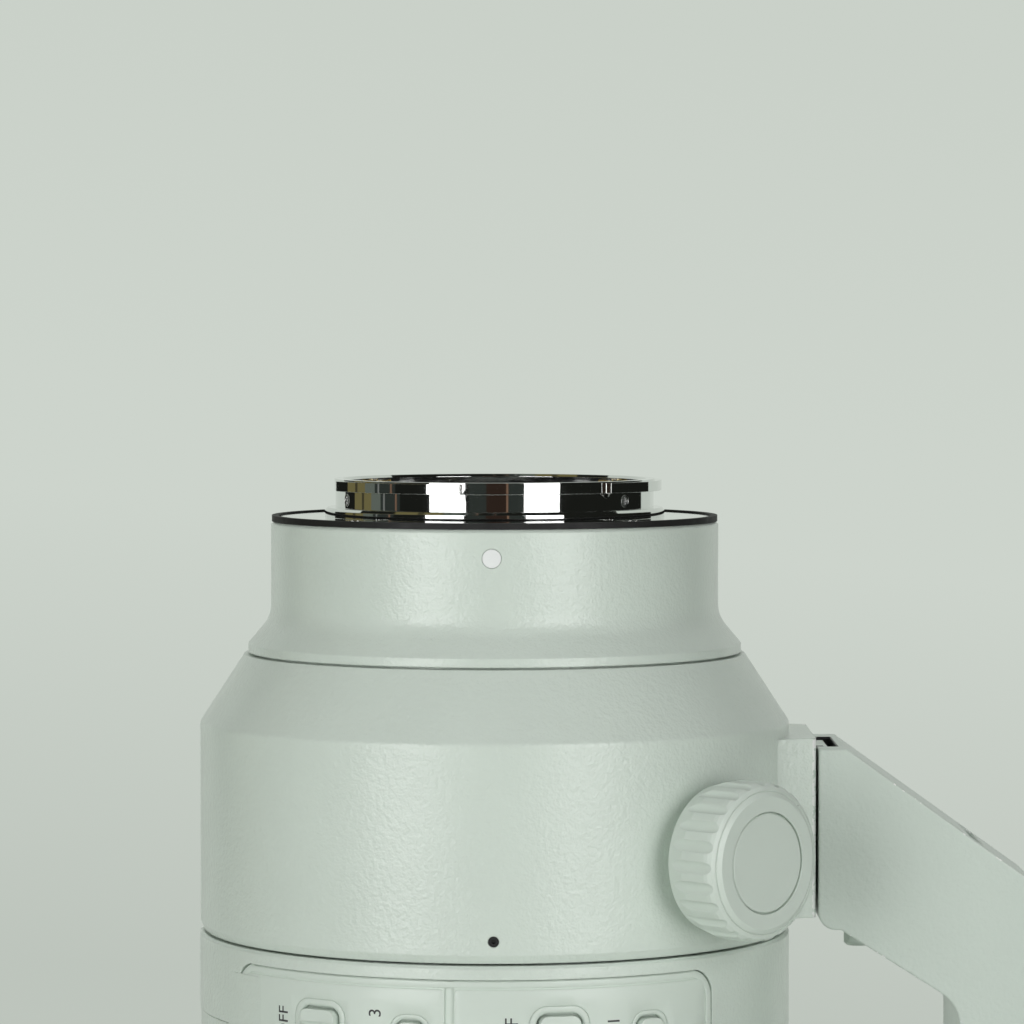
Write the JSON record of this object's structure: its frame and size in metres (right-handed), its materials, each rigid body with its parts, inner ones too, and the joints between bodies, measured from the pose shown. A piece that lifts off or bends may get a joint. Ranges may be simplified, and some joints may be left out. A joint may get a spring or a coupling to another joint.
{
  "type": "camera zoom lens",
  "caption": "Pale telephoto zoom lens with a chrome bayonet, a turning tripod collar with a detachable foot, slide switches, ribbed zoom and focus rings and an extending front tube.",
  "frame": {"origin": "centre of the front rim, at the mouth of the filter thread", "axes": "+Z along the optical axis from the front rim to the camera mount, +X towards the tripod foot"},
  "size_m": [0.1289, 0.0945, 0.2104],
  "materials": {
    "paint": "fine hammered satin paint",
    "mount_chrome": "polished",
    "screw_steel": "machined",
    "gasket_rubber": "smooth",
    "grip_rubber": "matt ribbed",
    "black_plastic": "matt",
    "black_metal": "satin black",
    "inner_alloy": "anodised",
    "contact_brass": "plated",
    "lens_glass": "coated",
    "circuit_board": "solder mask",
    "index_white": "smooth"
  },
  "bodies": {
    "barrel": {"rear_barrel": "paint", "switch_barrel": "paint", "switch_panel": "paint", "top_plate": "paint", "button_band": "paint", "front_bezel": "paint", "mount_bayonet": "mount_chrome", "mount_screws": "screw_steel", "neck_screws": "screw_steel", "barrel_screws": "screw_steel", "focus_rods": "screw_steel", "mount_gasket": "gasket_rubber", "rear_baffle": "black_plastic", "contact_block": "black_plastic", "iris_housing": "black_plastic", "stabiliser_frame": "black_plastic", "focus_motor": "black_plastic", "rear_cell": "black_plastic", "fixed_barrel": "inner_alloy", "rear_chassis": "inner_alloy", "contact_pins": "contact_brass", "rear_lens": "lens_glass", "main_pcb": "circuit_board", "mount_index_dot": "index_white"},
    "zoom_control": {"zoom_ring": "black_metal", "zoom_grip": "grip_rubber", "drive_key": "screw_steel", "cam_tube": "inner_alloy"},
    "front_group": {"filter_ring": "black_metal", "front_tube": "black_metal", "tube_followers": "contact_brass", "retaining_ring": "black_metal", "front_cell": "black_metal", "front_lens": "lens_glass", "second_lens": "lens_glass"},
    "variator": {"variator_cell": "black_plastic", "variator_lens": "lens_glass"},
    "focus_control": {"focus_ring": "black_metal", "focus_grip": "grip_rubber"},
    "focus_group": {"focus_cell": "black_plastic", "focus_lens": "lens_glass"},
    "stabiliser_x": {"stabiliser_stage": "inner_alloy"},
    "stabiliser_y": {"stabiliser_lens": "lens_glass"},
    "torque_control": {"torque_ring": "paint"},
    "collar": {"collar_ring": "paint", "collar_index_screw": "black_metal"},
    "lock_shoe": {"clamp_shoe": "contact_brass"},
    "lock": {"clamp_screw": "screw_steel", "lock_knob": "paint", "knob_cap": "paint"},
    "foot": {"tripod_foot": "paint", "thread_insert": "screw_steel"},
    "foot_release": {"foot_release_button": "paint"},
    "focus_mode": {"focus_mode_switch": "paint"},
    "focus_limit": {"focus_limit_switch": "paint"},
    "stabiliser_onoff": {"stabiliser_switch": "paint"},
    "stabiliser_mode": {"stabiliser_mode_switch": "paint"},
    "hold_top": {"hold_button_top": "paint"},
    "hold_near": {"hold_button_near": "paint"},
    "hold_far": {"hold_button_far": "paint"}
  },
  "joints": [
    {"name": "zoom_turn", "type": "hinge", "parent": "barrel", "child": "zoom_control", "pos_m": [0, 0, 0.044], "axis": [0, 0, 1], "range_deg": [0, 85]},
    {"name": "front_extend", "type": "slide", "parent": "barrel", "child": "front_group", "axis": [0, 0, -1], "range_m": [0, 0.06]},
    {"name": "variator_shift", "type": "slide", "parent": "barrel", "child": "variator", "axis": [0, 0, 1], "range_m": [0, 0.016]},
    {"name": "focus_turn", "type": "hinge", "parent": "barrel", "child": "focus_control", "pos_m": [0, 0, 0.09], "axis": [0, 0, 1], "continuous": true},
    {"name": "focus_shift", "type": "slide", "parent": "barrel", "child": "focus_group", "axis": [0, 0, 1], "range_m": [-0.005, 0.005]},
    {"name": "stabiliser_shift_x", "type": "slide", "parent": "barrel", "child": "stabiliser_x", "axis": [1, 0, 0], "range_m": [-0.001, 0.001]},
    {"name": "stabiliser_shift_y", "type": "slide", "parent": "stabiliser_x", "child": "stabiliser_y", "axis": [0, 1, 0], "range_m": [-0.001, 0.001]},
    {"name": "torque_turn", "type": "hinge", "parent": "barrel", "child": "torque_control", "pos_m": [0, 0, 0.018], "axis": [0, 0, 1], "range_deg": [0, 60]},
    {"name": "collar_turn", "type": "hinge", "parent": "barrel", "child": "collar", "pos_m": [0, 0, 0.158], "axis": [0, 0, 1], "continuous": true},
    {"name": "lock_shift", "type": "slide", "parent": "collar", "child": "lock_shoe", "axis": [0.6947, -0.7193, 0], "range_m": [0, 0.0007]},
    {"name": "lock_turn", "type": "hinge", "parent": "lock_shoe", "child": "lock", "pos_m": [0.03473, -0.03597, 0.1566], "axis": [0.6947, -0.7193, 0], "range_deg": [0, 360]},
    {"name": "foot_slide", "type": "slide", "parent": "collar", "child": "foot", "axis": [0, 0, -1], "range_m": [0, 0.024]},
    {"name": "foot_release_press", "type": "slide", "parent": "foot", "child": "foot_release", "axis": [0, 0, 1], "range_m": [0, 0.0012], "stiffness_N_per_m": 800},
    {"name": "focus_mode_slide", "type": "slide", "parent": "barrel", "child": "focus_mode", "axis": [0, 0, -1], "range_m": [0, 0.0034]},
    {"name": "focus_limit_slide", "type": "slide", "parent": "barrel", "child": "focus_limit", "axis": [0, 0, -1], "range_m": [0, 0.0038]},
    {"name": "stabiliser_onoff_slide", "type": "slide", "parent": "barrel", "child": "stabiliser_onoff", "axis": [0, 0, -1], "range_m": [0, 0.0034]},
    {"name": "stabiliser_mode_slide", "type": "slide", "parent": "barrel", "child": "stabiliser_mode", "axis": [0, 0, -1], "range_m": [0, 0.0038]},
    {"name": "hold_top_press", "type": "slide", "parent": "barrel", "child": "hold_top", "axis": [1, 0, 0], "range_m": [0, 0.0007], "stiffness_N_per_m": 1000},
    {"name": "hold_near_press", "type": "slide", "parent": "barrel", "child": "hold_near", "axis": [0, 1, 0], "range_m": [0, 0.0007], "stiffness_N_per_m": 1000},
    {"name": "hold_far_press", "type": "slide", "parent": "barrel", "child": "hold_far", "axis": [0, -1, 0], "range_m": [0, 0.0007], "stiffness_N_per_m": 1000}
  ],
  "couplings": [
    {"joint": "front_extend", "follows": "zoom_turn", "m_per_rad": 0.040439},
    {"joint": "variator_shift", "follows": "zoom_turn", "m_per_rad": 0.01078},
    {"joint": "lock_turn", "follows": "lock_shift", "rad_per_m": 8976}
  ]
}
